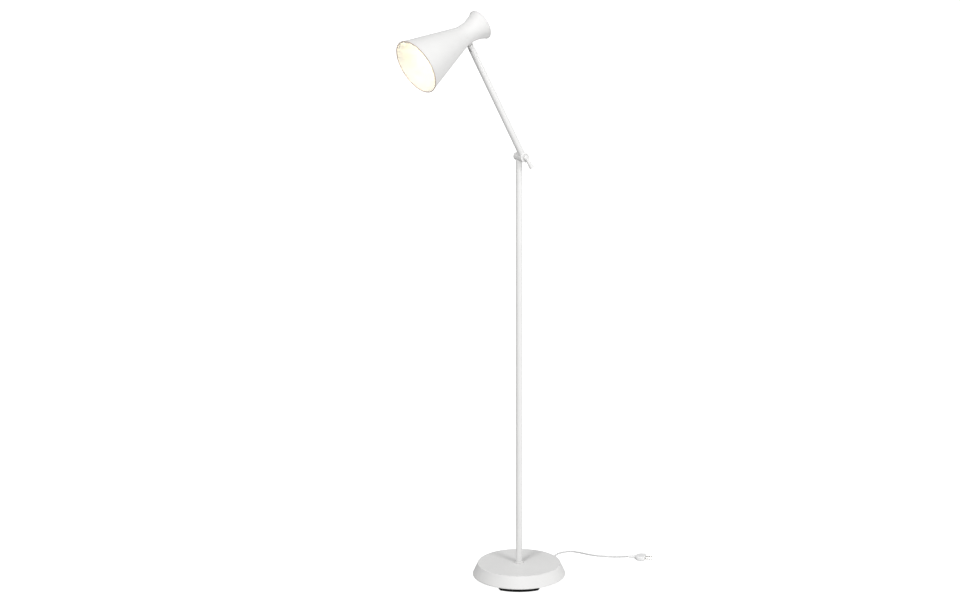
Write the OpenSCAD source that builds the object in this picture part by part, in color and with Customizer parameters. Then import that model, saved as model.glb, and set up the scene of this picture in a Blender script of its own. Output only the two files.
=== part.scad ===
// Adjustable arm floor lamp. Millimetres, +Z up, origin on the floor under the middle of the base.
// The arm swings in the XZ plane, beside the pole, and leans towards -X. The pivot lies along Y.

/* [Base] */
// Diameter of the base at its lower rim
base_d = 235; // [225:1:250]
// Diameter of the flat top of the base
base_top_d = 210; // [205:1:215]
// Height of the lower rim above the floor
rim_h = 12; // [12:0.5:14]
// Height from the lower rim to the flat top
side_h = 30; // [29:1:34]
// Turn of the base about the pole, to the side where the cord leaves
base_turn = 52; // [0:1:359]

/* [Pole] */
// Outer diameter of the pole and arm tubes
tube_d = 16; // [16:0.5:17]
// Wall of the tubes
tube_wall = 1.2; // [1:0.1:1.5]
// Height of the seam between the lower and middle pole tubes
seam_low_h = 232; // [150:1:400]
// Height of the seam between the middle and upper pole tubes
seam_high_h = 891; // [600:1:950]
// Height of the pivot's axis
hinge_h = 1088.3; // [1040:1:1150]

/* [Pivot] */
// Distance from the pole's axis to the arm's axis, along the pivot
arm_y = 16.6; // [16.6:0.1:18]
// Radius of the pivot's closed back end
pivot_back_r = 10.2; // [9:0.1:10.4]
// Radius of the pivot body where it meets the turning head
pivot_front_r = 10.7; // [10.6:0.1:11]
// Radius of the turning head at its front ring
head_front_r = 12.5; // [12.3:0.1:13]
// Length of the clamp lever from the pivot's axis
lever_l = 29.5; // [22:0.5:45]

/* [Arm] */
// Lean of the arm from upright
arm_lean = 29.2; // [10:0.1:60]
// Distance from the pivot's axis to the top end of the ferrule
arm_l = 329.5; // [280:0.5:400]
// Length of the turning end ferrule
ferrule_l = 34; // [34:0.5:40]

/* [Shade] */
// Dip of the shade's axis below level
shade_dip = 24; // [10:1:60]
// Radius of the shade's mouth
mouth_r = 68.5; // [64:0.5:75]
// Distance along the axis from the mouth to the crease
cone_l = 144.5; // [140:0.5:148]
// Radius of the waist
waist_r = 25; // [25:0.1:26]
// Distance along the axis from the mouth to the waist
waist_z = 161; // [161:0.5:162]
// Radius of the concave flare behind the waist
flare_r = 92; // [85:1:100]
// Distance along the axis from the mouth to the end of the flared neck
neck_end_z = 206; // [204:0.5:207]
// Sheet thickness of the shade
shade_wall = 1.2; // [1:0.1:1.4]
// Distance from the knuckle pin to the shade's axis
pin_drop = 35.7; // [35.5:0.1:37]

/* [Cord] */
// Width of the flat twin cord
cord_d = 5.2; // [5:0.1:5.4]
// Mean radius of the stored coil
coil_r = 28.2; // [27:0.1:29]

/* [Hidden] */
$fn = 64;

white = "whitesmoke";
steel = "silver";

top_h = rim_h + side_h;
tube_r = tube_d / 2;
tube_in = tube_r - tube_wall;

// base
cover_wall = 1.5;
lip_h = 2.5;
weight_r = 100;
weight_t = 16;
weight_low = top_h - cover_wall - weight_t;
plate_h = rim_h + 0.6;
plate_t = 2.5;
flange_r = base_d / 2 - 2.3;
plinth_r = 99;
plinth_low = 5;
strip_out_r = 103;
strip_in_r = 91;
strip_front_half = 29;
strip_back_from = 82;
screw_ring_r = 60;
screw_r = 2;
screw_top = 35;
boss_r = 5;
stud_r = 5;
stud_bore_r = 3.5;
stud_low = 14.5;
bush_l = 18;
washer_t = 2;
nut_t = 6.5;
slip = 0.05;

// collar, couplers and the flex inside
collar_r = 12;
collar_h = 3.5;
coupler_half = 20;
coupler_bore_r = 4;
edge = 0.3;
lead_r = 1.6;

// pivot: distances are measured forwards from the pole's axis
pivot_back = -11.5;
pivot_front = 7.6;
washer_front = 8.1;
head_back = 8.4;
head_front = 24.8;
head_back_r = 11;
nipple_r = 4;
nipple_bore_r = 2.6;
nipple_back = 4.5;
nipple_front = 28.6;
stop_ring_r = 7.9;
stop_pin_r = 1.5;
stop_groove_half = 103.2;
hub_r = 5.5;
hub_back = 25.1;
hub_front = 30.6;
lever_mid = 28;
lever_splay = 8;
lever_turn = 29;
spigot_r = tube_in;

// arm: distances are measured along the arm from the pivot's axis
ferrule_low = arm_l - ferrule_l;
arm_tube_top = ferrule_low - 0.3;
pin_up = arm_l - 6;
plug_l = 20;
swivel_r = 4.5;
swivel_top = ferrule_low + 18;
swivel_bore_r = 2.4;
nut_low = ferrule_low + 13.8;
nut_h = 3.2;
slot_half = 4.8;
slot_low = arm_l - 13.5;
tongue_half = 4.5;
tongue_r = 5.5;
pin_r = 2;
screw_head_r = 3.2;

// shade: distances are measured along its axis from the mouth
crease_r = neck_radius(cone_l);
neck_wall = 1.4;
lead_x = 21.3;
cap_t = 3;
bracket_z = 186;
bracket_t = 2;
holder_r = 19;
holder_front = 148;
holder_back = 180;
socket_r = 13.5;
bulb_cap_r = 13;
globe_r = 22.5;
globe_z = 117;
glass_t = 1;
button_r = 7.5;
button_out = 4;

// cord, in the base's own frame: +X is away from the base at the back, +Y to the left of it
cord_r = cord_d / 2;
gland_y = 24;
gland_h = 21;
gland_tip = 138;
gland_neck_r = 4.5;
grip_x = 74;
grip_flex_h = 13;
grip_top = 19.5;
coil_x = 151;
coil_y = -14;
coil_low = 1;
coil_high = 11.6;
coil_half = 8.1;
tie_t = 0.8;
floor_gap = 0.1;
plug_at = [144, -284];
plug_turn = -101;
plug_h = 13.6;
plug_relief_l = 18;
plug_body_l = 26;
pin_l = 19;
pin_gap = 18.6;

lead_in_route = [
    [112, 24, 21], [125, 24, 21], [138, 24, 20.4], [148, 24.6, 16.8], [158, 23.6, 11.4],
    [167, 18.3, 6.6], [175.5, 10.6, 3.7]
];
turn_r = 22;
turn_y = coil_y - coil_r - 6.5 - turn_r;
run_turn = [
    for (a = [90:15:270])
        let (t = min(max((a - 100) / 130, 0), 1))
        [coil_x + turn_r * cos(a), turn_y + turn_r * sin(a), 8.9 - 6.2 * t * t * (3 - 2 * t)]
];
run_route = concat(run_turn, [
    [157, -93.1, 2.7], [163.5, -94.6, 2.7], [172.8, -99, 2.7], [181.6, -106.2, 2.7],
    [189, -116.4, 2.7], [193.4, -129, 2.7], [193.2, -142, 2.7], [188.2, -155, 2.7],
    [180.2, -168, 2.7], [169.8, -184, 2.7], [161.6, -202, 2.7], [157, -221, 2.7],
    [152.5, -242, 2.9], [148.2, -263, 4.6], [144, -284, 6.9]
]);
flex_route = [
    [112, 24, 21], [105, 24, 21], [98, 24, 20.2], [91, 24, 17.2], [84, 24, 14], [78, 24, 13],
    [73, 24, 13], [66, 24, 13], [60, 22, 13.3], [55.5, 18, 13.8], [51.5, 15.6, 14],
    [47, 15, 14]
];

// ---------- helpers ----------

function unit(v) = v / norm(v);

// Radius of the neck: a circular arc that is narrowest at the waist
function neck_radius(z) = waist_r + flare_r - sqrt(pow(flare_r, 2) - pow(z - waist_z, 2));

// Points of an arc in a profile
function arc_points(c, r, a0, a1, n) =
    [for (i = [0:n]) c + r * [cos(a0 + (a1 - a0) * i / n), sin(a0 + (a1 - a0) * i / n)]];

// Direction of a route at one of its points
function heading(path, i) =
    unit(path[min(i + 1, len(path) - 1)] - path[max(i - 1, 0)]);

// One extra point in the middle of each stretch of a route, on a smooth curve
function smoothed(path) = [
    for (i = [0:len(path) - 2])
        let (a = path[max(i - 1, 0)], b = path[i], c = path[i + 1])
        let (d = path[min(i + 2, len(path) - 1)])
        each [b, (9 * (b + c) - a - d) / 16],
    path[len(path) - 1]
];

// A round tube swept along a route; ref is never along the route
module swept(path, r, ref, sides = 8) {
    last = len(path) - 1;
    rings = [
        for (i = [0:last])
            let (t = heading(path, i), u = unit(cross(t, ref)), v = cross(t, u))
            for (k = [0:sides - 1])
                path[i] + r * (cos(360 * k / sides) * u + sin(360 * k / sides) * v)
    ];
    walls = [
        for (i = [0:last - 1], k = [0:sides - 1])
            let (n = (k + 1) % sides, a = i * sides)
            [a + k, a + sides + k, a + sides + n, a + n]
    ];
    start_cap = [for (k = [0:sides - 1]) k];
    end_cap = [for (k = [sides - 1:-1:0]) last * sides + k];
    polyhedron(points = rings, faces = concat([start_cap, end_cap], walls), convexity = 6);
}

module ring(r_out, r_in, low, high) {
    difference() {
        translate([0, 0, low]) cylinder(r = r_out, h = high - low);
        translate([0, 0, low - 1]) cylinder(r = r_in, h = high - low + 2);
    }
}

module in_base() {
    rotate([0, 0, base_turn]) children();
}

// +Z of the children runs forwards along the pivot
module on_pivot() {
    translate([0, 0, hinge_h]) rotate([90, 0, 0]) children();
}

// +Z of the children runs up the arm
module on_arm() {
    translate([0, -arm_y, hinge_h]) rotate([0, -arm_lean, 0]) children();
}

// +Z of the children runs from the shade's mouth to its back, +X towards the arm
module on_shade() {
    translate([-pin_up * sin(arm_lean), -arm_y, hinge_h + pin_up * cos(arm_lean)])
        rotate([0, 90 - shade_dip, 0])
            translate([-pin_drop, 0, -waist_z])
                children();
}

module at_plug() {
    in_base() translate([plug_at[0], plug_at[1], floor_gap]) rotate([0, 0, plug_turn]) children();
}

// ---------- base ----------

side_angle = atan2((base_d - base_top_d) / 2, side_h - lip_h);
corner_r = 1.5;

module base_cover() {
    inner_side = base_d / 2 - cover_wall / cos(side_angle);
    inner_low = rim_h + lip_h - (cover_wall / cos(side_angle) - cover_wall) / tan(side_angle);
    inner_top = inner_side - (side_h - lip_h - cover_wall) * tan(side_angle);
    corner = [
        base_top_d / 2 - corner_r * tan((90 - side_angle) / 2), top_h - corner_r
    ];
    profile = concat(
        [
            [stud_r + slip, top_h - cover_wall], [inner_top, top_h - cover_wall],
            [base_d / 2 - cover_wall, inner_low + 0.02], [base_d / 2 - cover_wall, rim_h],
            [base_d / 2, rim_h], [base_d / 2, rim_h + lip_h]
        ],
        arc_points(corner, corner_r, side_angle, 90, 5),
        [[stud_r + slip, top_h]]
    );
    color(white)
        difference() {
            rotate_extrude($fn = 180) polygon(profile);
            in_base()
                translate([base_d / 2 - 25, gland_y, gland_h])
                    rotate([0, 90, 0])
                        cylinder(r = gland_neck_r + slip, h = 50, $fn = 32);
        }
}

module base_weight() {
    color("dimgray")
        difference() {
            translate([0, 0, weight_low]) cylinder(r = weight_r, h = weight_t, $fn = 128);
            translate([0, 0, weight_low - 1]) cylinder(r = stud_r + slip, h = weight_t + 2);
            at_screws()
                translate([0, 0, weight_low - 1])
                    cylinder(r = screw_r, h = screw_top - weight_low + 2, $fn = 24);
        }
}

module at_screws() {
    in_base()
        for (a = [90, 210, 330])
            rotate([0, 0, a]) translate([screw_ring_r, 0, 0]) children();
}

module base_plate() {
    profile = [
        [0, plinth_low], [plinth_r, plinth_low], [plinth_r, plate_h], [flange_r, plate_h],
        [flange_r, plate_h + plate_t], [plinth_r - plate_t, plate_h + plate_t],
        [plinth_r - plate_t, plinth_low + plate_t], [0, plinth_low + plate_t]
    ];
    color("black")
        difference() {
            union() {
                rotate_extrude($fn = 128) polygon(profile);
                at_screws()
                    translate([0, 0, plinth_low + 1])
                        cylinder(r = boss_r, h = weight_low - plinth_low - 1, $fn = 32);
            }
            at_screws()
                translate([0, 0, plinth_low - 1])
                    cylinder(r = screw_r + 0.3, h = weight_low, $fn = 24);
        }
}

// A stretch of the foot ring with sloping ends; to is measured at half height
module foot_arc(half) {
    difference() {
        rotate([0, 0, -half - 4])
            rotate_extrude(angle = 2 * half + 8, $fn = 180)
                translate([strip_in_r, 0])
                    square([strip_out_r - strip_in_r, plinth_low]);
        for (s = [-1, 1])
            rotate([0, 0, s * half])
                translate([60, 0, plinth_low / 2])
                    rotate([s * -45, 0, 0])
                        translate([0, s > 0 ? 0 : -30, -20])
                            cube([60, 30, 40]);
    }
}

module foot_strips() {
    color("black")
        in_base() {
            rotate([0, 0, 180]) foot_arc(strip_front_half);
            rotate([0, 0, strip_back_from - 180])
                rotate_extrude(angle = 360 - 2 * strip_back_from, $fn = 180)
                    translate([strip_in_r, 0])
                        square([strip_out_r - strip_in_r, plinth_low]);
        }
}

module base_screws() {
    color(steel)
        at_screws() {
            translate([0, 0, plinth_low - 2.4]) cylinder(r = 3.75, h = 2.4, $fn = 32);
            translate([0, 0, plinth_low]) cylinder(r = screw_r, h = screw_top - plinth_low, $fn = 24);
        }
}

module base_stud() {
    color(steel) ring(stud_r, stud_bore_r, stud_low, top_h + bush_l);
}

module base_washer() {
    color(steel) ring(12, stud_r + slip, weight_low - washer_t, weight_low);
}

module base_nut() {
    color(steel)
        difference() {
            translate([0, 0, weight_low - washer_t - nut_t])
                cylinder(d = 16 / cos(30), h = nut_t, $fn = 6);
            translate([0, 0, weight_low - washer_t - nut_t - 1])
                cylinder(r = stud_r, h = nut_t + 2);
        }
}

// ---------- pole ----------

module pole_collar() {
    bore = tube_r + slip;
    profile = concat(
        [[bore, top_h], [collar_r, top_h]],
        arc_points([collar_r - 1.2, top_h + collar_h - 1.2], 1.2, 0, 90, 4),
        [[bore, top_h + collar_h]]
    );
    color(white) rotate_extrude($fn = 96) polygon(profile);
}

module pole_foot_bush() {
    color(steel) ring(tube_in, stud_r, top_h, top_h + bush_l);
}

// A length of tube with a fine chamfer at each end
module tube(low, high) {
    profile = [
        [tube_in, low], [tube_r - edge, low], [tube_r, low + edge], [tube_r, high - edge],
        [tube_r - edge, high], [tube_in, high]
    ];
    rotate_extrude($fn = 96) polygon(profile);
}

module pole_lower() {
    color(white) tube(top_h, seam_low_h);
}

module pole_middle() {
    color(white) tube(seam_low_h, seam_high_h);
}

module pole_upper() {
    color(white)
        difference() {
            tube(seam_high_h, hinge_h);
            on_pivot() rotate_extrude($fn = 96) polygon(pivot_outline(4));
        }
}

module coupler(seam) {
    color(steel) ring(tube_in, coupler_bore_r, seam - coupler_half, seam + coupler_half);
}

module coupler_lower() {
    coupler(seam_low_h);
}

module coupler_upper() {
    coupler(seam_high_h);
}

// ---------- pivot ----------

// Outline of the pivot body: radius, distance forwards from the pole's axis; more lengthens it
function pivot_outline(more = 0) = concat(
    [[0, pivot_back]],
    arc_points([pivot_back_r - 2, pivot_back + 2], 2, -90, 0, 6),
    [[pivot_front_r, pivot_front]],
    more > 0 ? [[pivot_front_r, pivot_front + more]] : [],
    [[0, pivot_front + more]]
);

module pivot_body() {
    color(white)
        difference() {
            union() {
                on_pivot() rotate_extrude($fn = 96) polygon(pivot_outline());
                translate([0, 0, hinge_h - 36]) cylinder(r = spigot_r, h = 29.4, $fn = 96);
            }
            on_pivot() {
                translate([0, 0, -6.5]) cylinder(r = 6, h = 6.5 + nipple_back);
                cylinder(r = nipple_r + slip, h = 20);
                translate([0, -stop_ring_r, 5]) cylinder(r = stop_pin_r, h = 10, $fn = 24);
            }
            translate([0, 0, hinge_h - 40]) cylinder(r = 3.9, h = 39);
        }
}

module pivot_nipple() {
    color(steel)
        on_pivot()
            difference() {
                ring(nipple_r, nipple_bore_r, nipple_back, nipple_front);
                translate([-5, -2, 13]) cube([10, 10, 7.2]);
            }
}

module friction_washer() {
    color("dimgray")
        on_pivot() ring(stop_ring_r - stop_pin_r - 0.2, nipple_r + slip, pivot_front, washer_front);
}

module stop_pin() {
    color(steel)
        on_pivot()
            translate([0, -stop_ring_r, 5])
                cylinder(r = stop_pin_r, h = head_back + 1.6 - 5, $fn = 24);
}

// ---------- flex in the base and pole, cord and plug ----------

module cord_gland() {
    color("gainsboro")
        in_base()
            translate([0, gland_y, gland_h])
                rotate([0, 90, 0])
                    rotate_extrude()
                        polygon([
                            [cord_r + slip, 101], [5.6, 101], [5.6, 104], [gland_neck_r, 104],
                            [gland_neck_r, 116], [5.6, 116], [5.6, 118.5], [4.8, 119.5],
                            [3.4, gland_tip], [cord_r + slip, gland_tip]
                        ]);
}

module cord_grip() {
    color("dimgray")
        in_base()
            difference() {
                translate([grip_x - 7, gland_y - 12, plinth_low + plate_t])
                    cube([14, 24, grip_top - plinth_low - plate_t]);
                translate([grip_x - 8, gland_y, grip_flex_h])
                    rotate([0, 90, 0])
                        cylinder(r = cord_r + 0.4, h = 16, $fn = 32);
                at_grip_screws() translate([0, 0, 9]) cylinder(r = 1.5, h = 20, $fn = 24);
            }
}

module at_grip_screws() {
    for (s = [-1, 1])
        translate([grip_x, gland_y + s * 8, 0]) children();
}

module grip_screws() {
    color(steel)
        in_base()
            at_grip_screws() {
                translate([0, 0, 9]) cylinder(r = 1.5, h = grip_top - 9, $fn = 24);
                translate([0, 0, grip_top]) cylinder(r = 2.8, h = 1.8, $fn = 32);
            }
}

module base_flex() {
    color("gainsboro") in_base() swept(smoothed(flex_route), cord_r, [0, 0, 1]);
}

module terminal_block() {
    color("whitesmoke")
        in_base()
            difference() {
                translate([30, 6, plinth_low + plate_t]) cube([20, 18, 13]);
                translate([46, 15, 14]) rotate([0, 90, 0]) cylinder(r = cord_r + 0.5, h = 5);
                translate([29, 11, 9.6]) rotate([0, 90, 0]) cylinder(r = lead_r + 0.3, h = 5);
            }
}

function from_base(p) = [
    p[0] * cos(base_turn) - p[1] * sin(base_turn),
    p[0] * sin(base_turn) + p[1] * cos(base_turn),
    p[2]
];

module pole_lead() {
    bend = 6;
    low = [
        [32.5, 11, 9.6], [28, 11, 9.6], [22, 9, 9.5], [15, 6, 9.4], [10, 4, 9.4],
        [6.1, 2.6, 9.4], [4, 1.88, 9.85], [2.6, 1.41, 10.95], [1.6, 1.06, 12.6],
        [1.18, 0.92, 14.7], [1.18, 0.92, 20]
    ];
    top = [
        for (a = [0:22.5:90])
            [0, 1.5 - bend + bend * cos(a), hinge_h - bend + bend * sin(a)]
    ];
    route = concat([for (p = low) from_base(p)], top, [[0, -7.8, hinge_h]]);
    color("gainsboro") swept(route, lead_r, [1, -0.5, 0]);
}

module cord_lead_in() {
    color("gainsboro") in_base() swept(smoothed(lead_in_route), cord_r, [0, 0, 1]);
}

module cord_run() {
    color("gainsboro") in_base() swept(smoothed(run_route), cord_r, [0, 0, 1]);
}

module cord_coil() {
    color("gainsboro")
        in_base()
            translate([coil_x, coil_y, coil_low])
                rotate_extrude($fn = 72)
                    translate([coil_r - coil_half, 0])
                        square([2 * coil_half, coil_high - coil_low]);
}

module cord_tie() {
    color("dimgray")
        in_base()
            translate([coil_x, coil_y, 0])
                rotate([0, 0, 133])
                    rotate_extrude(angle = 14, $fn = 72)
                        difference() {
                            translate([coil_r - coil_half - tie_t, coil_low - tie_t])
                                square([
                                    2 * (coil_half + tie_t),
                                    coil_high - coil_low + 2 * tie_t
                                ]);
                            translate([coil_r - coil_half, coil_low])
                                square([2 * coil_half, coil_high - coil_low]);
                        }
}

module plug_body() {
    c = 5;
    half_w = 17.5;
    color("gainsboro")
        at_plug()
            difference() {
                union() {
                    translate([0, 0, plug_h / 2])
                        rotate([0, 90, 0])
                            cylinder(r1 = 3.4, r2 = 5.4, h = plug_relief_l + 1, $fn = 32);
                    translate([plug_relief_l, 0, 0])
                        linear_extrude(height = plug_h) {
                            translate([c, -half_w]) square([plug_body_l - c, 2 * half_w]);
                            translate([0, c - half_w]) square([c + 1, 2 * (half_w - c)]);
                            for (s = [-1, 1])
                                translate([c, s * (half_w - c)]) circle(r = c, $fn = 32);
                        }
                }
                translate([-1, 0, plug_h / 2]) rotate([0, 90, 0]) cylinder(r = cord_r, h = 1);
            }
}

module plug_pins() {
    color(steel)
        at_plug()
            for (s = [-1, 1])
                translate([plug_relief_l + plug_body_l, s * pin_gap / 2, plug_h / 2])
                    rotate([0, 90, 0])
                        cylinder(r = 2, h = pin_l, $fn = 32);
}

// ---------- clamp lever ----------

module clamp_lever() {
    dome_r = 6.8;
    hub = concat(
        [[0, hub_back], [hub_r, hub_back]],
        arc_points([0, hub_front - dome_r], dome_r, acos(hub_r / dome_r), 90, 8)
    );
    color(white)
        on_pivot()
            difference() {
                union() {
                    rotate_extrude($fn = 64) polygon(hub);
                    translate([0, 0, lever_mid])
                        rotate([0, 0, lever_turn - 90])
                            rotate([0, 90 - lever_splay, 0])
                                cylinder(r1 = 3.6, r2 = 5.8, h = lever_l, $fn = 48);
                }
                translate([0, 0, hub_back - 5]) cylinder(r = nipple_r + slip, h = 5 + 29 - hub_back);
            }
}

// ---------- arm ----------

// Outline of the turning head: radius, distance forwards from the pole's axis
function head_outline() = concat(
    [[0, head_back], [head_back_r, head_back]],
    arc_points([head_front_r - 1.5, head_front - 1.5], 1.5, 0, 90, 4),
    [[0, head_front]]
);

module arm_head() {
    color(white)
        difference() {
            union() {
                on_pivot() rotate_extrude($fn = 96) polygon(head_outline());
                on_arm() cylinder(r = spigot_r, h = 30, $fn = 96);
            }
            on_pivot() {
                translate([0, 0, head_back - 1]) cylinder(r = nipple_r + slip, h = 20);
                translate([0, 0, head_front - 0.8]) cylinder(r = 9.5, h = 5);
                rotate([0, 0, arm_lean - 90 - stop_groove_half])
                    translate([0, 0, head_back - 1])
                        rotate_extrude(angle = 2 * stop_groove_half, $fn = 96)
                            translate([stop_ring_r - stop_pin_r - 0.3, 0])
                                square([2 * stop_pin_r + 0.6, 3]);
            }
            on_arm() cylinder(r = 4.5, h = 31);
        }
}

module arm_tube() {
    color(white)
        difference() {
            on_arm() tube(2, arm_tube_top);
            on_pivot() rotate_extrude($fn = 96) polygon(head_outline());
        }
}

module arm_plug() {
    color(steel)
        on_arm()
            difference() {
                union() {
                    translate([0, 0, arm_tube_top - plug_l]) cylinder(r = tube_in, h = plug_l);
                    translate([0, 0, arm_tube_top - 1])
                        cylinder(r = swivel_r, h = swivel_top - arm_tube_top + 1);
                }
                translate([0, 0, arm_tube_top - plug_l - 1])
                    cylinder(r = swivel_bore_r, h = 60, $fn = 32);
            }
}

module swivel_nut() {
    color(steel) on_arm() ring(6, swivel_r, nut_low, nut_low + nut_h);
}

module arm_lead() {
    bend = 4.5;
    turn = [for (a = [0:22.5:90]) [0, bend - bend * sin(a), bend - bend * cos(a)]];
    route = concat([[0, arm_y - 8.6, 0]], turn, [[0, 0, arm_l - 13.1]]);
    color("gainsboro") on_arm() swept(route, lead_r, [1, 0, 0]);
}

// ---------- knuckle ----------

module end_ferrule() {
    color(white)
        on_arm()
            difference() {
                intersection() {
                    rotate_extrude($fn = 96)
                        polygon([
                            [0, ferrule_low], [tube_r - edge, ferrule_low],
                            [tube_r, ferrule_low + edge], [tube_r, arm_l], [0, arm_l]
                        ]);
                    union() {
                        translate([-10, -10, ferrule_low - 1])
                            cube([20, 20, pin_up - ferrule_low + 1]);
                        translate([0, 10, pin_up])
                            rotate([90, 0, 0])
                                cylinder(r = 9.8, h = 20);
                    }
                }
                translate([0, 0, ferrule_low - 1]) cylinder(r = swivel_r + slip, h = 20);
                translate([0, 0, nut_low - 0.3]) cylinder(r = 6.3, h = slot_low - nut_low + 1);
                translate([-10, -slot_half, slot_low]) cube([20, 2 * slot_half, 20]);
                translate([0, 10, pin_up]) rotate([90, 0, 0]) cylinder(r = pin_r, h = 20, $fn = 32);
                for (s = [0, 180])
                    rotate([0, 0, s])
                        translate([0, -7, pin_up])
                            rotate([90, 0, 0])
                                cylinder(r = screw_head_r + 0.1, h = 5, $fn = 32);
            }
}

module knuckle_screws() {
    color(steel)
        on_arm()
            for (s = [0, 180])
                rotate([0, 0, s])
                    translate([0, 0, pin_up])
                        rotate([90, 0, 0])
                            rotate_extrude($fn = 32)
                                polygon([
                                    [0, 2.5], [pin_r, 2.5], [pin_r, 7], [screw_head_r, 7],
                                    [screw_head_r, 7.6], [screw_head_r - 0.8, 8.2], [0, 8.2]
                                ]);
}

module knuckle_tongue() {
    color(white)
        on_shade()
            difference() {
                union() {
                    translate([pin_drop, tongue_half, waist_z])
                        rotate([90, 0, 0])
                            cylinder(r = tongue_r, h = 2 * tongue_half);
                    translate([waist_r - 4, -tongue_half, waist_z - tongue_r])
                        cube([pin_drop - waist_r + 4, 2 * tongue_half, 2 * tongue_r]);
                }
                rotate_extrude($fn = 128) polygon(neck_outline());
                for (s = [0, 1])
                    mirror([0, s, 0])
                        translate([pin_drop, -2.4, waist_z])
                            rotate([90, 0, 0])
                                cylinder(r = pin_r + slip, h = 5, $fn = 32);
                translate([0, 0, waist_z]) rotate([0, 90, 0]) cylinder(r = 1.9, h = 60, $fn = 32);
            }
}

// ---------- shade ----------

function neck_inner(z) =
    waist_r + flare_r - sqrt(pow(flare_r + neck_wall, 2) - pow(z - waist_z, 2));

// Outline of the neck: radius, distance from the mouth
function neck_outline() = concat(
    [[0, cone_l]],
    [for (i = [0:16]) let (z = cone_l + (neck_end_z - cone_l) * i / 16) [neck_radius(z), z]],
    [[0, neck_end_z]]
);

module shade_front() {
    slope = atan2(mouth_r - crease_r, cone_l);
    t = shade_wall / cos(slope);
    bead = shade_wall;
    low_r = mouth_r - bead * tan(slope);
    color(white)
        on_shade()
            rotate_extrude($fn = 160) {
                polygon([
                    [low_r - t, bead], [low_r, bead], [crease_r, cone_l], [crease_r - t, cone_l]
                ]);
                translate([mouth_r - bead, bead]) circle(r = bead, $fn = 16);
            }
}

module shade_neck() {
    spigot = crease_r - shade_wall - 0.1;
    inner = [
        for (i = [0:16])
            let (z = neck_end_z - (neck_end_z - cone_l - 3) * i / 16)
            [neck_inner(z), z]
    ];
    outer = [
        for (i = [0:16])
            let (z = cone_l + (neck_end_z - cone_l) * i / 16)
            [neck_radius(z), z]
    ];
    low = [
        [spigot - neck_wall, cone_l + 2.5], [spigot - neck_wall, cone_l - 6],
        [spigot, cone_l - 6], [spigot, cone_l]
    ];
    color(white)
        on_shade()
            difference() {
                rotate_extrude($fn = 160) polygon(concat(outer, inner, low));
                translate([0, 0, waist_z]) rotate([0, 90, 0]) cylinder(r = 3.6, h = 40, $fn = 32);
            }
}

module back_cap() {
    rim = neck_radius(neck_end_z) + 0.4;
    lip = neck_inner(neck_end_z - 3) - 0.1;
    back = neck_end_z + cap_t;
    profile = concat(
        [[button_r + 0.4, neck_end_z], [lip - 1.5, neck_end_z], [lip - 1.5, neck_end_z - 3],
         [lip, neck_end_z - 3], [lip, neck_end_z], [rim, neck_end_z]],
        arc_points([rim - 2, back - 2], 2, 0, 90, 5),
        [[button_r + 0.4, back]]
    );
    color(white) on_shade() rotate_extrude($fn = 128) polygon(profile);
}

module switch_body() {
    color("black")
        on_shade()
            difference() {
                translate([0, 0, 193]) cylinder(r = 12, h = neck_end_z - 193);
                translate([0, 0, neck_end_z - 8]) cylinder(r = button_r + slip, h = 20);
                translate([0, 0, 192]) cylinder(r = lead_r + 0.3, h = 3.2, $fn = 32);
                translate([9, 0, 196.5]) rotate([0, 90, 0]) cylinder(r = lead_r + 0.5, h = 9);
            }
}

module switch_button() {
    low = neck_end_z - 5.2;
    high = neck_end_z + cap_t + button_out;
    profile = concat(
        [[0, low], [button_r, low]],
        arc_points([button_r - 1.5, high - 1.5], 1.5, 0, 90, 4),
        [[0, high]]
    );
    color("black") on_shade() rotate_extrude() polygon(profile);
}

module holder_bracket() {
    color(steel)
        on_shade()
            difference() {
                translate([0, 0, bracket_z])
                    cylinder(r = neck_inner(bracket_z) - 0.02, h = bracket_t, $fn = 128);
                translate([0, 0, bracket_z - 1]) cylinder(r = 5 + slip, h = bracket_t + 2);
                for (a = [0:90:270])
                    rotate([0, 0, a])
                        translate([lead_x, 0, bracket_z - 1])
                            cylinder(r = 3, h = bracket_t + 2, $fn = 32);
            }
}

module holder_nipple() {
    color(steel) on_shade() ring(5, 3.5, holder_back - 3, bracket_z + bracket_t + 4);
}

module holder_nut() {
    low = bracket_z + bracket_t;
    color(steel)
        on_shade()
            difference() {
                translate([0, 0, low]) cylinder(d = 14 / cos(30), h = 3, $fn = 6);
                translate([0, 0, low - 1]) cylinder(r = 5, h = 5);
            }
}

module lampholder() {
    profile = [
        [2, holder_back - 8], [socket_r, holder_back - 8], [socket_r, holder_front],
        [holder_r, holder_front], [holder_r, holder_back - 4], [holder_r - 4, holder_back],
        [5, holder_back], [5, holder_back - 3], [2, holder_back - 3]
    ];
    color("whitesmoke") on_shade() rotate_extrude() polygon(profile);
}

module holder_ring() {
    color("whitesmoke") on_shade() ring(21.5, holder_r, 153.5, 156.5);
}

module bulb_cap() {
    color(steel)
        on_shade()
            translate([0, 0, holder_front])
                cylinder(r = bulb_cap_r, h = holder_back - 8 - holder_front);
}

module bulb_glass() {
    n = 18;
    neck = bulb_cap_r - 0.1;
    outer = arc_points([0, globe_z], globe_r, -90, 50, n);
    inner = arc_points([0, globe_z], globe_r - glass_t, 50, -90, n);
    profile = concat(
        outer, [[neck, 141], [neck, holder_front], [neck - glass_t, holder_front],
        [neck - glass_t, 141]], inner
    );
    color("lightyellow") on_shade() rotate_extrude() polygon(profile);
}

module shade_lead() {
    route = [
        [34, 0, 161], [28, 0, 161], [24.6, 0, 161.4], [22.4, 0, 163.3], [lead_x, 0, 166.5],
        [lead_x, 0, 176], [lead_x, 0, 186], [20.6, 0, 190.8], [17.8, 0, 194.6],
        [14.5, 0, 196.3], [10.5, 0, 196.5]
    ];
    color("gainsboro") on_shade() swept(route, lead_r, [0, 1, 0]);
}

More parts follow.
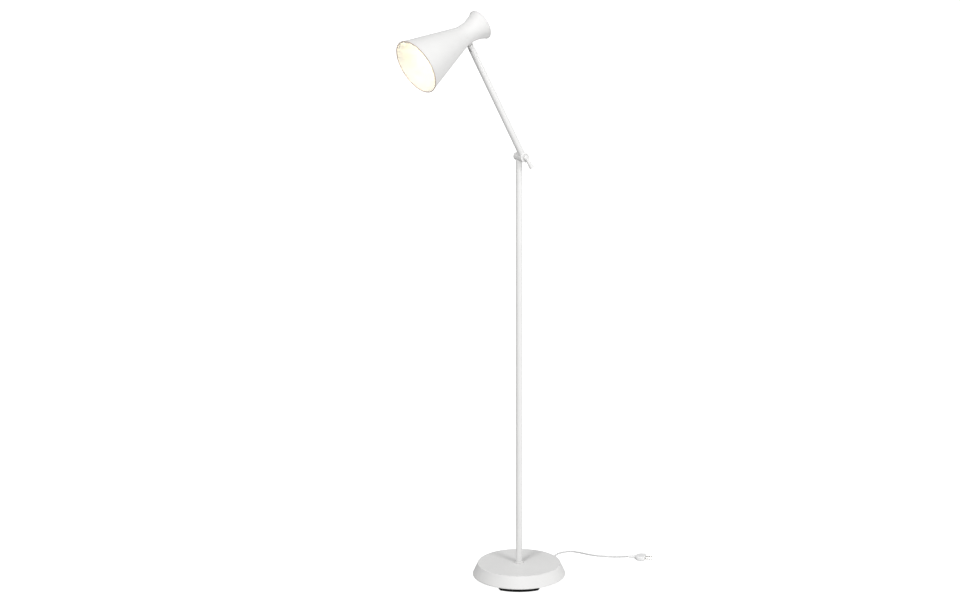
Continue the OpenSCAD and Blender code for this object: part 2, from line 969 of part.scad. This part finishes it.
module holder_lead() {
    color("gainsboro")
        on_shade() translate([0, 0, holder_back - 6]) cylinder(r = lead_r, h = 195 - holder_back + 6);
}

// ---------- parts ----------

base_cover();
base_weight();
base_plate();
foot_strips();
base_screws();
base_stud();
base_washer();
base_nut();
pole_collar();
pole_foot_bush();
pole_lower();
pole_middle();
pole_upper();
coupler_lower();
coupler_upper();
pivot_body();
pivot_nipple();
friction_washer();
stop_pin();
cord_gland();
cord_grip();
grip_screws();
base_flex();
terminal_block();
pole_lead();
cord_lead_in();
cord_coil();
cord_run();
cord_tie();
plug_body();
plug_pins();
clamp_lever();
arm_head();
arm_tube();
arm_plug();
swivel_nut();
arm_lead();
end_ferrule();
knuckle_screws();
knuckle_tongue();
shade_front();
shade_neck();
back_cap();
switch_body();
switch_button();
holder_bracket();
holder_nipple();
holder_nut();
lampholder();
holder_ring();
bulb_cap();
bulb_glass();
shade_lead();
holder_lead();
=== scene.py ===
import bpy
import bmesh
import math
from mathutils import Matrix, Vector


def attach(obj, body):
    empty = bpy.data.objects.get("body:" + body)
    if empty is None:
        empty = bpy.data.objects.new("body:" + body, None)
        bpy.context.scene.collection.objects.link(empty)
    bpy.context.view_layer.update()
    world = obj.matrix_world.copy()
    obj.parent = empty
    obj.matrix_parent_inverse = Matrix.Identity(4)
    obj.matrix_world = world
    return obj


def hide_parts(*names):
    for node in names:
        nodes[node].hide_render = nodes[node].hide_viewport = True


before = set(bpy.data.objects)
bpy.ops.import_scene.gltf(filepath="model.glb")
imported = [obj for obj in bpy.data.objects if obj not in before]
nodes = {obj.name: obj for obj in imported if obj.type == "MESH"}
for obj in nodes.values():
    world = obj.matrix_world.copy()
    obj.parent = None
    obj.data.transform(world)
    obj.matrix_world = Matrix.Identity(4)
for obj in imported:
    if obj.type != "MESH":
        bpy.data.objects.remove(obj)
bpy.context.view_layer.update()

# ------------------------------------------------------------------ camera

CAM_AZ = math.radians(-38)
CAM_FAR = 6.0
CAM_HIGH = 2.18
CAM_PITCH = math.radians(13.61)

cam_data = bpy.data.cameras.new("camera")
cam = bpy.data.objects.new("camera", cam_data)
bpy.context.scene.collection.objects.link(cam)
cam.location = (CAM_FAR * math.sin(CAM_AZ), -CAM_FAR * math.cos(CAM_AZ), CAM_HIGH)
cam.rotation_euler = (math.pi / 2 - CAM_PITCH, 0, CAM_AZ)
cam_data.lens = 93.54
cam_data.sensor_width = 36
cam_data.shift_x = -0.0407
cam_data.dof.use_dof = False
bpy.context.scene.camera = cam

# ------------------------------------------------------------------ helpers


def smooth(obj, angle=None):
    """Smooth shading, but for the edges that are sharper than angle."""
    for p in obj.data.polygons:
        p.use_smooth = True
    if angle is not None:
        bpy.context.view_layer.objects.active = obj
        with bpy.context.temp_override(object=obj, active_object=obj, selected_objects=[obj],
                                       selected_editable_objects=[obj]):
            bpy.ops.object.shade_smooth_by_angle(angle=math.radians(angle))


def mesh_object(name, verts, faces, angle=None):
    """A mesh with its normals facing outwards; angle is as in smooth."""
    mesh = bpy.data.meshes.new(name)
    mesh.from_pydata([tuple(v) for v in verts], [], faces)
    mesh.validate()
    obj = bpy.data.objects.new(name, mesh)
    bpy.context.scene.collection.objects.link(obj)
    bm = bmesh.new()
    bm.from_mesh(mesh)
    bmesh.ops.recalc_face_normals(bm, faces=bm.faces)
    bm.to_mesh(mesh)
    bm.free()
    smooth(obj, angle)
    return obj


def lathe(name, profile, place, steps=128):
    """A surface of revolution about the local Z of place; profile is (radius, z) in metres."""
    verts, faces, rings = [], [], []
    for r, z in profile:
        rings.append(list(range(len(verts), len(verts) + steps)))
        for k in range(steps):
            a = 2 * math.pi * k / steps
            verts.append(place @ Vector((r * math.cos(a), r * math.sin(a), z)))
    for a, b in zip(rings, rings[1:]):
        for k in range(steps):
            n = (k + 1) % steps
            faces.append((a[k], b[k], b[n], a[n]))
    return mesh_object(name, verts, faces)


def loft(name, rings, angle=None):
    """Joins rings of equal length into one skin, closed at both ends."""
    n = len(rings[0])
    verts = [p for ring in rings for p in ring]
    faces = []
    for i in range(len(rings) - 1):
        for k in range(n):
            m = (k + 1) % n
            faces.append((i * n + k, (i + 1) * n + k, (i + 1) * n + m, i * n + m))
    faces.append(tuple(range(n)))
    last = (len(rings) - 1) * n
    faces.append(tuple(range(last + n - 1, last - 1, -1)))
    return mesh_object(name, verts, faces, angle)


def catmull(points, step):
    """Points about step apart on a smooth curve through the given ones."""
    out = []
    last = len(points) - 1
    for i in range(last):
        p0, p1, p2, p3 = (points[max(i - 1, 0)], points[i], points[i + 1], points[min(i + 2, last)])
        n = max(1, round((p2 - p1).length / step))
        for j in range(n):
            t = j / n
            out.append(0.5 * (2 * p1 + (p2 - p0) * t + (2 * p0 - 5 * p1 + 4 * p2 - p3) * t * t
                              + (3 * p1 - p0 - 3 * p2 + p3) * t ** 3))
    out.append(points[-1].copy())
    return out


# ------------------------------------------------------------------ places

BASE_TURN = math.radians(52)
IN_BASE = Matrix.Rotation(BASE_TURN, 4, "Z")
HINGE_H = 1.0883
ARM_Y = 0.0166
LEAN = math.radians(29.2)
DIP = math.radians(24)
PIN_UP = 0.3235
PIN_DROP = 0.0357
WAIST_Z = 0.161
MOUTH_R = 0.0685
SHADE_WALL = 0.0012
ARM_DIR = Vector((-math.sin(LEAN), 0, math.cos(LEAN)))
PIN = Vector((0, -ARM_Y, HINGE_H)) + ARM_DIR * PIN_UP
# +Z from the mouth to the back of the shade, +X towards the arm
ON_SHADE = (Matrix.Translation(PIN) @ Matrix.Rotation(math.pi / 2 - DIP, 4, "Y")
            @ Matrix.Translation((-PIN_DROP, 0, -WAIST_Z)))

# ------------------------------------------------------------------ cord

LOBE = 0.0016
LOBE_OUT = 0.0010

LEAD_IN = [(0.112, 0.024, 0.021), (0.125, 0.024, 0.021), (0.138, 0.024, 0.0204), (0.148, 0.0246, 0.0168),
           (0.158, 0.0236, 0.0114), (0.167, 0.0183, 0.0066), (0.1755, 0.0106, 0.0037)]
COIL_X, COIL_Y = 0.151, -0.014
COIL_OUT, COIL_IN = 0.0347, 0.0214
COIL_LOW, COIL_HIGH = 0.0037, 0.0089
# angles on the coil, in degrees, where the flex comes onto it and leaves it
COIL_FROM, COIL_TO = 45.1, -90.0
TURNS_BELOW, TURNS_ABOVE = 4, 5
TURN_R = 0.022
TURN_Y = -0.0707
LYING_H = 0.0027


def eased(t):
    """Runs smoothly from 0 to 1 while t does, and stays at the ends outside that."""
    t = min(max(t, 0), 1)
    return t * t * (3 - 2 * t)


# off the top of the coil in a half turn that comes down to the floor, then along it to the plug
RUN = [(COIL_X + TURN_R * math.cos(math.radians(a)), TURN_Y + TURN_R * math.sin(math.radians(a)),
        COIL_HIGH + (LYING_H - COIL_HIGH) * eased((a - 100) / 130))
       for a in range(90, 271, 15)]
RUN += [(0.157, -0.0931, 0.0027), (0.1635, -0.0946, 0.0027), (0.1728, -0.099, 0.0027), (0.1816, -0.1062, 0.0027),
        (0.189, -0.1164, 0.0027), (0.1934, -0.129, 0.0027), (0.1932, -0.142, 0.0027), (0.1882, -0.155, 0.0027),
        (0.1802, -0.168, 0.0027), (0.1698, -0.184, 0.0027), (0.1616, -0.202, 0.0027), (0.157, -0.221, 0.0027),
        (0.1525, -0.242, 0.0029), (0.1482, -0.263, 0.0046), (0.144, -0.284, 0.0069)]


def coil_points(per_turn=48):
    """Wound inwards on the floor and outwards on top, clockwise seen from above."""
    bottom = 360 * TURNS_BELOW + (COIL_FROM - COIL_TO)
    top = 360 * TURNS_ABOVE
    count = int((bottom + top) / 360 * per_turn)
    out = []
    for i in range(1, count):
        turned = (bottom + top) * i / count
        inwards = turned / bottom if turned < bottom else (bottom + top - turned) / top
        r = COIL_OUT + (COIL_IN - COIL_OUT) * inwards
        z = COIL_LOW + (COIL_HIGH - COIL_LOW) * eased((turned - bottom + 25) / 50)
        a = math.radians(COIL_FROM - turned)
        out.append(Vector((COIL_X + r * math.cos(a), COIL_Y + r * math.sin(a), z)))
    return out


def twin_ring(middle, wide, thin):
    """The outline of the twin flex round middle: one round lobe on each side along wide."""
    ring = []
    for s in (1, -1):
        for deg in (-98, -70, -42, -14, 14, 42, 70, 98):
            a = math.radians(deg)
            ring.append(middle + s * (wide * (LOBE_OUT + LOBE * math.cos(a)) + thin * LOBE * math.sin(a)))
    return ring


CORD_STEP = 0.0035
lead_in = catmull([Vector(p) for p in LEAD_IN], CORD_STEP)
run = catmull([Vector(p) for p in RUN], CORD_STEP)
coil = coil_points()
path = [IN_BASE @ p for p in lead_in + coil + run]
runs_from = len(lead_in) + len(coil)

rings = []
travelled = 0.0
for i, p in enumerate(path):
    ahead = (path[min(i + 1, len(path) - 1)] - path[max(i - 1, 0)]).normalized()
    side = ahead.cross(Vector((0, 0, 1))).normalized()
    up = side.cross(ahead).normalized()
    if i > 0:
        travelled += (p - path[i - 1]).length
    if i == runs_from:
        run_start = travelled
    # the flex stands on edge, and past the coil it sways a little about that
    turn = math.pi / 2
    if i >= runs_from:
        far = travelled - run_start
        fade_in = min(far / 0.03, 1)
        turn += fade_in * (0.35 * math.sin(far * 31) + 0.12 * math.sin(far * 83))
    wide = side * math.cos(turn) + up * math.sin(turn)
    rings.append(twin_ring(p, wide, ahead.cross(wide).normalized()))
cord = loft("mains_cord", rings)

PLUG_AT = IN_BASE @ Vector((0.144, -0.284, 0.0001))
AT_PLUG = Matrix.Translation(PLUG_AT) @ Matrix.Rotation(BASE_TURN + math.radians(-101), 4, "Z")
PLUG_MID_H = 0.0068


def squircle(x, w, h, power, n=40):
    """A rounded outline of half width w and half height h across the plug; power 2 is an ellipse."""
    ring = []
    for k in range(n):
        a = 2 * math.pi * k / n
        c, s = math.cos(a), math.sin(a)
        y = math.copysign(abs(c) ** (2 / power), c) * w
        z = math.copysign(abs(s) ** (2 / power), s) * h
        ring.append(AT_PLUG @ Vector((x, y, PLUG_MID_H + z)))
    return ring


# six ribs of the strain relief, then the body
plug_rings = []
for i in range(6):
    x0 = 0.0004 + i * 0.0028
    w = 0.0031 + i * 0.00024
    for dx, dr in ((0, 0), (0.0002, 0.0003), (0.0016, 0.0003), (0.0018, -0.0001), (0.0026, -0.0001)):
        plug_rings.append(squircle(x0 + dx, w + dr, w + dr, 2))
for x, w, h, power in ((0.0178, 0.0050, 0.0048, 2.1), (0.0190, 0.0074, 0.0054, 2.3), (0.0206, 0.0106, 0.0059, 2.6),
                       (0.0226, 0.0136, 0.0063, 2.9), (0.0252, 0.0160, 0.0066, 3.4), (0.0285, 0.0172, 0.00675, 4),
                       (0.0330, 0.0175, 0.0068, 4.5), (0.0425, 0.0175, 0.0068, 5), (0.0434, 0.0173, 0.0066, 5),
                       (0.0439, 0.0169, 0.0062, 5), (0.0440, 0.0164, 0.0057, 5)):
    plug_rings.append(squircle(x, w, h, power))
plug = loft("plug_moulded", plug_rings, 50)

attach(cord, "stand")
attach(plug, "stand")
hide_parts("cord_lead_in", "cord_coil", "cord_run")
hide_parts("plug_body")

# ------------------------------------------------------------------ materials


class Mat:
    """A small builder for procedural materials; every pattern is in metres."""

    def __init__(self, name, rough=0.5, metal=0.0, **fixed):
        self.m = bpy.data.materials.new(name)
        self.m.use_nodes = True
        self.t = self.m.node_tree
        self.b = self.t.nodes["Principled BSDF"]
        self.b.inputs["Roughness"].default_value = rough
        self.b.inputs["Metallic"].default_value = metal
        for key, value in fixed.items():
            self.b.inputs[key.replace("_", " ")].default_value = value
        self.coord = self.t.nodes.new("ShaderNodeTexCoord").outputs["Object"]

    def stretch(self, scale, turn=(0, 0, 0)):
        n = self.t.nodes.new("ShaderNodeMapping")
        n.inputs["Scale"].default_value = scale
        n.inputs["Rotation"].default_value = turn
        self.t.links.new(self.coord, n.inputs["Vector"])
        return n.outputs["Vector"]

    def noise(self, scale, detail=3.0, rough=0.5, vector=None):
        n = self.t.nodes.new("ShaderNodeTexNoise")
        n.inputs["Scale"].default_value = scale
        n.inputs["Detail"].default_value = detail
        n.inputs["Roughness"].default_value = rough
        self.t.links.new(vector or self.coord, n.inputs["Vector"])
        return n.outputs["Fac"]

    def cells(self, scale, vector=None):
        n = self.t.nodes.new("ShaderNodeTexVoronoi")
        n.inputs["Scale"].default_value = scale
        self.t.links.new(vector or self.coord, n.inputs["Vector"])
        return n.outputs["Distance"]

    def ramp(self, fac, low, high):
        """Maps fac to a value that runs from low to high."""
        n = self.t.nodes.new("ShaderNodeMapRange")
        n.inputs["To Min"].default_value = low
        n.inputs["To Max"].default_value = high
        n.inputs["From Min"].default_value = 0.3
        n.inputs["From Max"].default_value = 0.7
        self.t.links.new(fac, n.inputs["Value"])
        return n.outputs["Result"]

    def colour(self, fac, a, b, low=0.35, high=0.65):
        n = self.t.nodes.new("ShaderNodeValToRGB")
        n.color_ramp.elements[0].position = low
        n.color_ramp.elements[1].position = high
        n.color_ramp.elements[0].color = (*a, 1)
        n.color_ramp.elements[1].color = (*b, 1)
        self.t.links.new(fac, n.inputs["Fac"])
        self.t.links.new(n.outputs["Color"], self.b.inputs["Base Color"])

    def roughness(self, fac, low, high):
        self.t.links.new(self.ramp(fac, low, high), self.b.inputs["Roughness"])

    def bump(self, fac, strength, distance):
        n = self.t.nodes.new("ShaderNodeBump")
        n.inputs["Strength"].default_value = strength
        n.inputs["Distance"].default_value = distance
        self.t.links.new(fac, n.inputs["Height"])
        self.t.links.new(n.outputs["Normal"], self.b.inputs["Normal"])


def powder_white(name, a, b, rough=0.56):
    m = Mat(name, rough=rough, Coat_Weight=0.05, Coat_Roughness=0.45, Specular_IOR_Level=0.35)
    m.colour(m.noise(9, 4, 0.6), a, b)
    m.roughness(m.noise(220, 3), rough - 0.06, rough + 0.08)
    m.bump(m.noise(1400, 2, 0.4), 0.07, 0.00004)
    return m.m


WHITE = powder_white("powder_white", (0.680, 0.678, 0.672), (0.710, 0.708, 0.702))
# a darker copy of the same white powder paint: painted shade that tones down how brightly the lampshade, pole
# collar, tongue and back cap are lit
DIMMED_WHITE_PAINTED_SHADE = powder_white("dimmed_white_painted_shade", (0.602, 0.600, 0.595), (0.628, 0.626, 0.621))


def rubber(name, dark, light, rough):
    m = Mat(name, rough=rough, Specular_IOR_Level=0.2)
    m.colour(m.noise(400, 3), dark, light)
    m.roughness(m.noise(150, 2), rough - 0.08, rough + 0.08)
    m.bump(m.cells(1800), 0.25, 0.00005)
    return m.m


BLACK_RUBBER = rubber("black_rubber", (0.004, 0.004, 0.004), (0.009, 0.009, 0.009), 0.85)
BLACK_PLASTIC = rubber("black_plastic", (0.016, 0.016, 0.017), (0.026, 0.026, 0.026), 0.5)


def turned_steel(name, a, b, rough):
    m = Mat(name, rough=rough, metal=1.0)
    m.colour(m.noise(900, 3, vector=m.stretch((1, 1, 14))), a, b)
    m.roughness(m.noise(700, 2, vector=m.stretch((1, 1, 20))), rough - 0.08, rough + 0.1)
    m.bump(m.noise(2500, 2, vector=m.stretch((1, 1, 9))), 0.12, 0.00003)
    return m.m


STEEL = turned_steel("zinc_steel", (0.48, 0.48, 0.47), (0.6, 0.6, 0.6), 0.34)
NICKEL = turned_steel("nickel_pins", (0.62, 0.61, 0.58), (0.74, 0.73, 0.7), 0.2)


def cast_iron():
    m = Mat("cast_iron", rough=0.75, metal=0.6)
    m.colour(m.noise(120, 6, 0.7), (0.05, 0.05, 0.05), (0.11, 0.105, 0.1))
    m.bump(m.noise(600, 5, 0.7), 0.6, 0.0004)
    return m.m


def cord_plastic(name, a, b, rough, soft=0.05):
    m = Mat(name, rough=rough, Subsurface_Weight=soft, Subsurface_Radius=(1, 1, 1), Subsurface_Scale=0.003)
    m.colour(m.noise(140, 3), a, b)
    m.roughness(m.noise(500, 2), rough - 0.06, rough + 0.08)
    m.bump(m.noise(1400, 2), 0.12, 0.00006)
    return m.m


CORD = cord_plastic("cord_plastic", (0.62, 0.62, 0.62), (0.67, 0.67, 0.67), 0.6, 0.4)
PLUG = cord_plastic("plug_plastic", (0.76, 0.76, 0.76), (0.81, 0.81, 0.81), 0.36)
GREY = cord_plastic("grey_plastic", (0.3, 0.3, 0.3), (0.36, 0.36, 0.36), 0.5)
HOLDER = cord_plastic("holder_plastic", (0.74, 0.73, 0.70), (0.80, 0.79, 0.76), 0.3)


def strap():
    m = Mat("tie_strap", rough=0.9)
    m.colour(m.cells(1600), (0.03, 0.03, 0.03), (0.09, 0.09, 0.09), 0.1, 0.5)
    m.bump(m.cells(1600), 0.8, 0.0002)
    return m.m


# brownish grey on the rolled rim of the mouth: painted shade standing in for the shadow along the rim
def rim_painted_shade():
    m = Mat("rim_edge_painted_shade", rough=0.5)
    m.colour(m.noise(70, 3), (0.40, 0.32, 0.28), (0.47, 0.38, 0.34))
    m.bump(m.noise(1500, 2), 0.2, 0.00005)
    return m.m


def bulb_glow():
    m = Mat("frosted_bulb", rough=0.35, Emission_Strength=28.0)
    m.colour(m.noise(60, 2), (0.93, 0.91, 0.86), (0.98, 0.96, 0.92))
    m.b.inputs["Emission Color"].default_value = (1.0, 0.90, 0.60, 1)
    m.bump(m.noise(1800, 2), 0.15, 0.00005)
    return m.m


def set_material(obj, material):
    obj.data.materials.clear()
    obj.data.materials.append(material)


BY_MATERIAL = {
    WHITE: ["base_cover", "pole_lower", "pole_middle", "pole_upper", "pivot_body", "clamp_lever",
            "arm_head", "arm_tube", "end_ferrule", "knuckle_screws"],
    # the lampshade, collar, tongue and cap take the darker copy of the white paint, which is painted shade
    DIMMED_WHITE_PAINTED_SHADE: ["pole_collar", "knuckle_tongue", "shade_front", "shade_neck", "back_cap"],
    BLACK_RUBBER: ["foot_strips"],
    BLACK_PLASTIC: ["base_plate", "switch_body", "switch_button", "friction_washer"],
    STEEL: ["base_screws", "base_stud", "base_washer", "base_nut", "pole_foot_bush", "coupler_lower",
            "coupler_upper", "pivot_nipple", "stop_pin", "grip_screws", "arm_plug", "swivel_nut", "holder_bracket",
            "holder_nipple", "holder_nut", "bulb_cap"],
    NICKEL: ["plug_pins"],
    cast_iron(): ["base_weight"],
    CORD: ["cord_gland", "base_flex", "pole_lead", "arm_lead", "shade_lead", "holder_lead"],
    GREY: ["cord_grip", "terminal_block"],
    HOLDER: ["lampholder", "holder_ring"],
    strap(): ["cord_tie"],
    bulb_glow(): ["bulb_glass"],
}
for material, names in BY_MATERIAL.items():
    for name in names:
        set_material(nodes[name], material)
set_material(cord, CORD)
set_material(plug, PLUG)

# ------------------------------------------------------------------ rim edge, painted shade

# the bead round the mouth is a shade's wall in radius, and the edge stands just proud of it; its brownish grey is
# painted shade along the rolled rim
RIM_R = SHADE_WALL + 0.00005
rim = lathe("shade_rim_edge",
            [(MOUTH_R - SHADE_WALL + RIM_R * math.cos(a), SHADE_WALL - SHADE_WALL * math.sin(a))
             for a in [math.radians(d) for d in range(-40, 221, 10)]],
            ON_SHADE, 160)
set_material(rim, rim_painted_shade())
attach(rim, "shade")

# ------------------------------------------------------------------ floor and light


FLOOR_HALF = 40


def floor():
    """A pale floor that shows as white and adds no light to the lamp."""
    corners = [(x * FLOOR_HALF, y * FLOOR_HALF, 0) for x, y in ((-1, -1), (1, -1), (1, 1), (-1, 1))]
    obj = mesh_object("floor", corners, [(0, 1, 2, 3)])
    m = Mat("pale_floor", rough=0.9, Emission_Strength=1.0)
    m.colour(m.noise(1.3, 2), (0.49, 0.49, 0.49), (0.51, 0.51, 0.51))
    m.b.inputs["Emission Color"].default_value = (1, 1, 1, 1)
    m.b.inputs["Specular IOR Level"].default_value = 0.0
    set_material(obj, m.m)
    obj.visible_diffuse = False
    obj.visible_glossy = False


floor()


LAMP_MIDDLE = Vector((0, 0, 0.7))
KEY_HIGH, KEY_FAR, KEY_SIZE = 4.6, 3.4, 1.3


def key_light(name, azimuth, power):
    """A soft round light aimed at the lamp; azimuth is measured from the camera's, round the pole."""
    data = bpy.data.lights.new(name, "AREA")
    data.shape = "DISK"
    data.size = KEY_SIZE
    data.energy = power
    obj = bpy.data.objects.new(name, data)
    bpy.context.scene.collection.objects.link(obj)
    a = CAM_AZ + math.radians(azimuth)
    obj.location = (KEY_FAR * math.sin(a), -KEY_FAR * math.cos(a), KEY_HIGH)
    obj.rotation_euler = (LAMP_MIDDLE - obj.location).to_track_quat("-Z", "Y").to_euler()


key_light("key_right", 41, 95)
key_light("key_left", -29, 102)

world = bpy.data.worlds.new("studio")
world.use_nodes = True
tree = world.node_tree
back = tree.nodes["Background"]
way = tree.nodes.new("ShaderNodeTexCoord")
TO_CAMERA = Vector((math.sin(CAM_AZ), -math.cos(CAM_AZ), 0))
TO_RIGHT = Vector((math.cos(CAM_AZ), math.sin(CAM_AZ), 0))


def towards(vector):
    """How far the direction looked in agrees with vector."""
    n = tree.nodes.new("ShaderNodeVectorMath")
    n.operation = "DOT_PRODUCT"
    n.inputs[1].default_value = vector
    tree.links.new(way.outputs["Generated"], n.inputs[0])
    return n.outputs["Value"]


def maths(operation, a, b):
    n = tree.nodes.new("ShaderNodeMath")
    n.operation = operation
    for socket, value in zip(n.inputs, (a, b)):
        if isinstance(value, float):
            socket.default_value = value
        else:
            tree.links.new(value, socket)
    return n.outputs["Value"]


def patch(vector, middle, low=0.35, high=0.95):
    """1 away from vector, easing to middle along it."""
    n = tree.nodes.new("ShaderNodeMapRange")
    n.interpolation_type = "SMOOTHSTEP"
    n.inputs["From Min"].default_value = low
    n.inputs["From Max"].default_value = high
    n.inputs["To Min"].default_value = 1.0
    n.inputs["To Max"].default_value = middle
    tree.links.new(towards(vector.normalized()), n.inputs["Value"])
    return n.outputs["Result"]


# the surround is brighter on the camera's side and from below, with a dark patch low on the left and
# a bright one low on the right
wide_glow = maths("ADD", towards(TO_CAMERA * 0.25 + TO_RIGHT * 0.03 + Vector((0, 0, -0.38))), 0.79)
low_left = patch(TO_CAMERA * -0.1 - TO_RIGHT * 0.65 + Vector((0, 0, -0.75)), 0.05)
low_right = patch(TO_CAMERA * -0.15 + TO_RIGHT * 0.75 + Vector((0, 0, -0.60)), 1.28, 0.2)
patches = maths("MULTIPLY", low_left, low_right)
tree.links.new(maths("MULTIPLY", wide_glow, patches), back.inputs["Strength"])
back.inputs["Color"].default_value = (1, 1, 1, 1)
bpy.context.scene.world = world
bpy.context.scene.view_settings.view_transform = "Standard"

# ------------------------------------------------------------------ end

bpy.context.view_layer.update()
